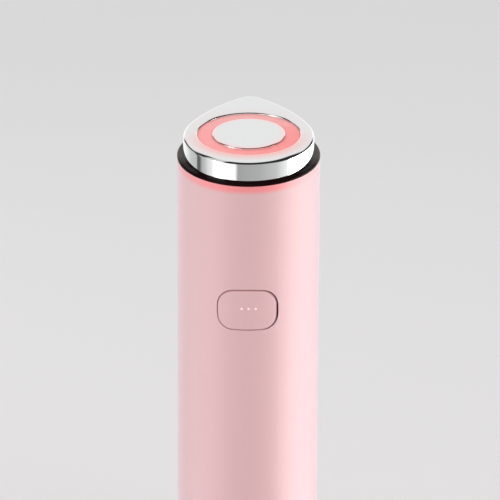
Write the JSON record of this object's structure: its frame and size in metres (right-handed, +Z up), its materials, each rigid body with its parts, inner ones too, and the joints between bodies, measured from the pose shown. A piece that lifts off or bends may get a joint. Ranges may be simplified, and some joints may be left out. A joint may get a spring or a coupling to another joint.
{
  "type": "facial toning device",
  "caption": "Handheld skin toning device: pink drop-section handle with a flush front button and a slanted chrome electrode head with a glowing ring round its centre disc.",
  "frame": {"origin": "on the axis of the handle's round front, in the plane of its flat base", "axes": "+Z up along the handle towards the head; -Y to the front, where the button is; +X to the right seen from behind the front (to the viewer's right when looking along +Y)"},
  "size_m": [0.036, 0.0431, 0.1273],
  "materials": {
    "handle_pink": "satin pearl pink",
    "clear_plastic": "clear",
    "dark_plastic": "gloss",
    "chrome": "polished",
    "light_ring": "translucent",
    "white_plastic": "moulded",
    "board_green": "solder mask",
    "led": "clear lens",
    "steel": "plated",
    "gold": "plated",
    "chip_black": "moulded",
    "flex_amber": "film",
    "cell_wrap": "shrink wrap",
    "foam": "foam",
    "weight_metal": "sintered",
    "dark_rubber": "moulded"
  },
  "bodies": {
    "root": {"body_shell": "handle_pink", "collar_ring": "dark_plastic", "outer_electrode": "chrome", "head_light_ring": "light_ring", "centre_electrode": "chrome", "head_carrier": "white_plastic", "led_board": "board_green", "head_leds": "led", "electrode_nut": "steel", "electrode_contact": "gold", "head_screws": "steel", "inner_frame": "white_plastic", "main_board": "board_green", "board_screws": "steel", "board_chips": "chip_black", "battery_connector": "white_plastic", "beeper": "gold", "indicator_leds": "led", "tact_switch": "chip_black", "flex_cable": "flex_amber", "battery_cell": "cell_wrap", "battery_pad": "foam", "vibration_motor": "steel", "usb_c_socket": "steel", "usb_c_tongue": "chip_black", "bottom_seal": "dark_rubber", "bottom_cap": "handle_pink", "cap_screws": "steel"},
    "button": {"button_cap": "handle_pink", "indicator_light_guide": "clear_plastic", "switch_plunger": "chip_black"},
    "rotor": {"motor_shaft": "steel", "motor_weight": "weight_metal"}
  },
  "joints": [
    {"name": "button_press", "type": "slide", "parent": "root", "child": "button", "axis": [0, 1, 0], "range_m": [0, 0.0004], "stiffness_N_per_m": 1500},
    {"name": "motor_spin", "type": "hinge", "parent": "root", "child": "rotor", "pos_m": [0, 0.0005, 0.095], "axis": [0, 0, 1], "continuous": true}
  ]
}
